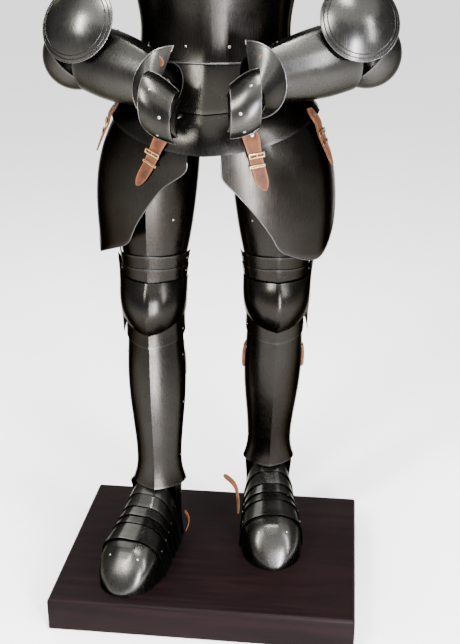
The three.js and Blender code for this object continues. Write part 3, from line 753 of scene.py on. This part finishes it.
def makeRivets():
    for name in legs:
        spots = []
        for angle in (-80, 80):
            spots += [legSpot(name, "greaveFront", h, angle) for h in (0.215, 0.33, 0.43)]
            spots += [legSpot(name, "thighPlate", h, angle * 1.3) for h in (0.70, 0.80)]
            spots += [legSpot(name, "kneeUpperPlate", 0.606, angle),
                      legSpot(name, "thighLowPlate", 0.632, angle),
                      legSpot(name, "kneeLowPlate", 0.484, angle)]
        spots += [legSpot(name, "kneeCop", h, -94) for h in (0.515, 0.538, 0.560)]
        spots += [legSpot(name, "kneeCop", 0.540, 84), legSpot(name, "thighPlate", 0.72, -40)]
        for angle in (-1, 1):
            spots += [footSpot(name, "instepPlate1", 0.030, angle * 62, 0.06),
                      footSpot(name, "instepPlate2", 0.045, angle * 62, 0.05),
                      footSpot(name, "instepPlate3", 0.066, angle * 62, 0.04),
                      footSpot(name, "instepPlate4", 0.090, angle * 62, 0.035)]
            spots += [footSpot(name, "ballPlate", d, angle * 58, 0.02) for d in (0.118, 0.140)]
            spots += [footSpot(name, "toeCap", 0.172, angle * 24),
                      footSpot(name, "heelPlate", -0.035, angle * 90, 0.11)]
        rivetRow([s for s in spots if s], f"legRivets_{name}", rivetSteel, 0.72)
    spots = [bodySpot("fauldLower", 0.965, a) for a in (-84, -56, 56, 84)]
    spots += [bodySpot("fauldUpper", 1.004, a) for a in (-70, 70)]
    spots += [bodySpot("rearSkirt", 1.0, a) for a in (110, 145, 180, 215, 250)]
    spots += [bodySpot("breastPlate", 1.05, a) for a in (-60, -20, 20, 60)]
    spots += [bodySpot("backPlate", 1.05, a) for a in (120, 160, 200, 240)]
    spots += [bodySpot("chinGuard", 1.50, a) for a in (-55, 55)]
    spots += [bodySpot("helmetSkull", 1.68, a) for a in range(0, 360, 30)]
    rivetRow([s for s in spots if s], "bodyRivets", rivetSteel, 0.85)
    for name, arm in arms.items():
        side = arm["side"]
        spots = []
        wrist, crook = lifted(arm["wrist"]), lifted(arm["crook"])
        ends = [lifted(e) for e in arm["hand"]]
        hand = pieces[f"handPlate_{name}"]
        for t, angle in ((0.25, 42), (0.55, -8), (0.45, -52)):
            inside = ends[0].lerp(ends[1], t)
            spots.append(surfaceSpot(hand, inside, Vector((0, -cos(radians(angle)), sin(radians(angle))))))
        wing = pieces[f"elbowWing_{name}"]
        spots.append(surfaceSpot(wing, crook, Vector((side * 0.72, -0.60, -0.1))))
        cuff = lifted(arm["cuff"])
        for height in (0.034, 0.022):
            spots.append(surfaceSpot(pieces[f"gauntletCuff_{name}"], cuff.lerp(wrist, 0.45),
                                     Vector((-side * 0.10, -0.6, height / 0.04))))
        elbow = lifted(arm["elbow"])
        spots += [surfaceSpot(pieces[f"forearmTube_{name}"], elbow.lerp(cuff, t), Vector((0, 0.3, 1)))
                  for t in (0.45, 0.8)]
        rivetRow([s for s in spots if s], f"armRivets_{name}", rivetSteel, 0.9)


makeRivets()
print("rivets done")

# ---- tasset straps with buckles

strapLook = {
    "buckleWidth": 0.0295, "buckleHeight": 0.0095, "wire": 0.0012,
    "keeperWidth": 0.0285, "keeperHeight": 0.0050, "keeperWire": 0.0009,
    # the angle round the body and the height of each strap's two ends
    "left": {"inner": {"head": (22, 0.918), "tip": (27, 0.804)},
             "outer": {"head": (69, 0.938), "tip": (76, 0.832)}},
    "right": {"inner": {"head": (18, 0.916), "tip": (32, 0.806)},
              "outer": {"head": (70, 0.944), "tip": (79, 0.846)}},
}


def makeBuckle(name, spot, normal, along, width, height, wire):
    # a rectangular wire loop with a tongue: plane, inset, inner face away, then thickness and round edges
    deselectAll()
    bpy.ops.mesh.primitive_plane_add(size=1, location=(0, 0, 0))
    loop = bpy.context.object
    bpy.ops.object.mode_set(mode="EDIT")
    bpy.ops.mesh.select_all(action="SELECT")
    bpy.ops.transform.resize(value=(width, height, 1))
    bpy.ops.mesh.inset(thickness=wire * 2)
    bpy.ops.mesh.delete(type="FACE")
    closeEdit()
    wall = loop.modifiers.new("wall", "SOLIDIFY")
    wall.thickness = wire * 1.6
    wall.offset = 1
    rounded = loop.modifiers.new("rounded", "BEVEL")
    rounded.width = wire * 0.5
    rounded.segments = 2
    applyModifiers(loop)
    deselectAll()
    bpy.ops.mesh.primitive_cube_add(size=1, location=(0, 0, wire * 1.5))
    tongue = bpy.context.object
    bpy.ops.object.mode_set(mode="EDIT")
    bpy.ops.mesh.select_all(action="SELECT")
    bpy.ops.transform.resize(value=(wire * 1.3, height * 0.98, wire * 1.2))
    bpy.ops.mesh.bevel(offset=wire * 0.4, segments=2, affect="EDGES")
    closeEdit()
    settle(tongue)
    buckle = joinPieces([loop, tongue], name)
    z = normal.normalized()
    y = (along - z * along.dot(z)).normalized()
    x = y.cross(z)
    buckle.matrix_world = Matrix.Translation(spot) @ Matrix((x, y, z)).transposed().to_4x4()
    settle(buckle)
    smoothShade(buckle, 40)
    return finishPiece(buckle, brass, "steel")


def strapFrame(name, kind, t):
    # a point above the strap's outer face at t from head (0) to tip (1), its normal and its run
    piece = pieces[f"tassetStrap_{kind}_{name}"]
    values = strapLook[name][kind]
    side = legs[name]["side"]

    def at(u):
        angle = radians(values["head"][0] + (values["tip"][0] - values["head"][0]) * u)
        height = values["head"][1] + (values["tip"][1] - values["head"][1]) * u
        way = Vector((side * 0.215 * sin(angle), -0.168 * cos(angle), 0)).normalized()
        return surfaceSpot(piece, Vector((0, bodyY, top + height)), way)

    here, ahead = at(t), at(min(1, t + 0.06))
    return here[0], here[1], (ahead[0] - here[0]).normalized()


def makeStraps():
    for name in legs:
        rivets, holeShadeSpots = [], []
        for kind in ("inner", "outer"):
            strap = copyNode(f"strap_{kind}_{name}", f"tassetStrap_{kind}_{name}")
            refine(strap)
            finishPiece(strap, leather, "leather", f"strap_{kind}_{name}")
            for number, t in enumerate((0.42, 0.60)):
                spot, normal, run = strapFrame(name, kind, t)
                if number == 0:
                    makeBuckle(f"strapBuckle_{kind}_{name}", spot + normal * 0.0006, normal, run,
                               strapLook["buckleWidth"], strapLook["buckleHeight"], strapLook["wire"])
                else:
                    makeBuckle(f"strapKeeper_{kind}_{name}", spot + normal * 0.0004, normal, run,
                               strapLook["keeperWidth"], strapLook["keeperHeight"], strapLook["keeperWire"])
            spot, normal, run = strapFrame(name, kind, 0.10)
            rivets.append((spot, normal))
            # painted shade: three dark domes sunk into the strap stand for its punched holes
            for t in (0.70, 0.79, 0.88):
                spot, normal, run = strapFrame(name, kind, t)
                holeShadeSpots.append((spot - normal * 0.0009, normal))
        rivetRow(rivets, f"strapRivets_{name}", rivetSteel, 1.5)
        row = rivetRow(holeShadeSpots, f"strapHoleShadows_{name}", paintedHoleShade, 0.7)


makeStraps()
print("straps done")

# ---- calf straps round the back of the greaves, and the loose tabs

calfStrap = {"low": 0.384, "high": 0.424, "roundOver": 0.0006,
             "proud": {"left": 0.0065, "right": 0.0016}}


def keepBelowOrAbove(obj, height, below):
    # cuts the piece level at a height, keeps one side and closes the cut
    activate(obj)
    bpy.ops.object.mode_set(mode="EDIT")
    bpy.ops.mesh.select_all(action="SELECT")
    bpy.ops.mesh.bisect(plane_co=(0, 0, height), plane_no=(0, 0, 1), use_fill=True,
                        clear_inner=not below, clear_outer=below)
    closeEdit()


def makeCalfStrap(name):
    source = pieces[f"greaveBack_{name}"]
    strap = source.copy()
    strap.data = source.data.copy()
    strap.name = strap.data.name = f"calfStrap_{name}"
    bpy.context.scene.collection.objects.link(strap)
    keepBelowOrAbove(strap, top + calfStrap["high"], True)
    keepBelowOrAbove(strap, top + calfStrap["low"], False)
    activate(strap)
    bpy.ops.object.mode_set(mode="EDIT")
    bpy.ops.mesh.select_all(action="SELECT")
    bpy.ops.mesh.normals_make_consistent(inside=False)
    bpy.ops.transform.shrink_fatten(value=calfStrap["proud"][name])
    closeEdit()
    softened = strap.modifiers.new("softened", "BEVEL")
    softened.width = calfStrap["roundOver"]
    softened.segments = 2
    applyModifiers(strap)
    smoothShade(strap, 40)
    finishPiece(strap, leather, "leather")


# each tab: its run of points (z above the plinth), the way its width lies, width and thickness
tabs = {
    "footTab_left": {"run": [(0.012, 0.074, 0.132), (0.029, 0.068, 0.125), (0.045, 0.060, 0.111),
                             (0.049, 0.044, 0.088), (0.052, 0.024, 0.064)],
                     "across": (0.45, 0.2, 0.8), "width": 0.013, "thick": 0.0020},
    "footTab_right": {"run": [(-0.058, -0.026, 0.098), (-0.047, -0.040, 0.094), (-0.043, -0.054, 0.084),
                              (-0.050, -0.064, 0.070)],
                      "across": (0.5, -0.3, 0.8), "width": 0.009, "thick": 0.0018},
    "cuffTab_right": {"run": [(-0.080, -0.134, 1.046), (-0.070, -0.142, 1.040), (-0.058, -0.152, 1.031)],
                      "across": (0.3, 0.2, 0.9), "width": 0.015, "thick": 0.0022},
    "cuffTab_left": {"run": [(0.122, -0.134, 1.052), (0.113, -0.142, 1.048), (0.101, -0.152, 1.040)],
                     "across": (-0.3, 0.2, 0.9), "width": 0.015, "thick": 0.0022},
}


def makeTab(name, values):
    # a plane laid along the first stretch, its far edge extruded along the rest, then given thickness
    run = [lifted(spot) for spot in values["run"]]
    across = Vector(values["across"]).normalized()
    first = run[1] - run[0]
    deselectAll()
    bpy.ops.mesh.primitive_plane_add(size=1, location=(0, 0, 0))
    tab = bpy.context.object
    normal = across.cross(first).normalized()
    wide = first.cross(normal).normalized()
    turned = Matrix((wide, first.normalized(), wide.cross(first.normalized()))).transposed().to_4x4()
    size = Matrix.Diagonal((values["width"], first.length, 1, 1))
    tab.matrix_world = Matrix.Translation((run[0] + run[1]) / 2) @ turned @ size
    settle(tab)
    for here, ahead in zip(run[1:], run[2:]):
        far = sorted(tab.data.edges, key=lambda e: sum(
            (tab.data.vertices[v].co - here).length for v in e.vertices))[0].index
        editSelected(tab, "EDGE", [far])
        bpy.ops.mesh.extrude_region_move(TRANSFORM_OT_translate={"value": ahead - here})
        closeEdit()
    wall = tab.modifiers.new("wall", "SOLIDIFY")
    wall.thickness = values["thick"]
    wall.offset = 0
    softened = tab.modifiers.new("softened", "SUBSURF")
    softened.levels = softened.render_levels = 2
    applyModifiers(tab)
    editSelected(tab, "FACE", range(len(tab.data.polygons)))
    bpy.ops.mesh.normals_make_consistent(inside=False)
    closeEdit()
    tab.name = name
    tab.data.name = name
    smoothShade(tab, 60)
    finishPiece(tab, leather, "leather")


for legName in legs:
    makeCalfStrap(legName)
for tabName, tabValues in tabs.items():
    makeTab(tabName, tabValues)
print("calf straps and tabs done")

# ---- studio: pale floor, soft lights, camera

studio = {
    "floor": (0.93, 0.905, 0.90), "floorSize": 60,
    "worldColor": (0.90, 0.90, 0.93), "worldStrength": 0.8,
}


def makeStudio():
    deselectAll()
    bpy.ops.mesh.primitive_plane_add(size=studio["floorSize"], location=(0, 0, -0.0005))
    floor = bpy.context.object
    floor.name = "paleFloor"
    settle(floor)
    material, tree, shader = newMaterial("paleFloor")
    tone = noise(tree, objectCoords(tree), 1.3, 3)
    color = ramp(tree, tone, [(0.2, tuple(c * 0.97 for c in studio["floor"])), (0.8, studio["floor"])])
    tree.links.new(color, shader.inputs["Base Color"])
    shader.inputs["Roughness"].default_value = 0.85
    floor.data.materials.append(material)

    world = bpy.data.worlds.new("studio")
    bpy.context.scene.world = world
    world.use_nodes = True
    background = world.node_tree.nodes["Background"]
    background.inputs["Color"].default_value = (*studio["worldColor"], 1)
    background.inputs["Strength"].default_value = studio["worldStrength"]


lamps = {
    "keySoftbox": {"at": (-1.5, -2.3, 2.7), "aim": (0, 0, 0.75), "size": (0.40, 1.5),
                   "watts": 260, "color": (1, 0.98, 0.97)},
    "fillSoftbox": {"at": (2.3, -1.7, 1.9), "aim": (0, 0, 0.75), "size": (0.30, 1.8),
                    "watts": 120, "color": (0.90, 0.91, 1)},
    "lowStrip": {"at": (0.95, -1.9, 0.45), "aim": (0, 0, 0.45), "size": (0.24, 1.3),
                 "watts": 210, "color": (0.90, 0.89, 1)},
    "topSoftbox": {"at": (0.1, -0.2, 3.3), "aim": (0, 0.1, 0.6), "size": (0.42, 1.6),
                   "watts": 190, "color": (1, 1, 1)},
    "rearSoftbox": {"at": (-1.4, 1.2, 2.6), "aim": (0, 0.1, 0.9), "size": (0.8, 1.6),
                    "watts": 40, "color": (1, 1, 1)},
}
daylight = {"strength": 4.4, "spread": 80, "tilt": (18, 12, 0)}


def makeLamps():
    for name, values in lamps.items():
        data = bpy.data.lights.new(name, "AREA")
        data.shape = "RECTANGLE"
        data.size, data.size_y = values["size"]
        data.energy = values["watts"]
        data.color = values["color"]
        lamp = bpy.data.objects.new(name, data)
        bpy.context.scene.collection.objects.link(lamp)
        lamp.location = values["at"]
        aim = Vector(values["aim"]) - Vector(values["at"])
        lamp.rotation_euler = aim.to_track_quat("-Z", "Y").to_euler()
    data = bpy.data.lights.new("daylight", "SUN")
    data.energy = daylight["strength"]
    data.angle = radians(daylight["spread"])
    sun = bpy.data.objects.new("daylight", data)
    bpy.context.scene.collection.objects.link(sun)
    sun.rotation_euler = [radians(a) for a in daylight["tilt"]]


cameraSet = {"lens": 56.96, "at": (0.2495, -1.871, 1.311), "tilt": 69, "turn": 6.5}


def makeCamera():
    data = bpy.data.cameras.new("viewCamera")
    data.sensor_width = 36
    data.lens = cameraSet["lens"]
    camera = bpy.data.objects.new("viewCamera", data)
    bpy.context.scene.collection.objects.link(camera)
    camera.location = cameraSet["at"]
    camera.rotation_euler = (radians(cameraSet["tilt"]), 0, radians(cameraSet["turn"]))
    bpy.context.scene.camera = camera


makeStudio()
makeLamps()
makeCamera()
print("studio done")
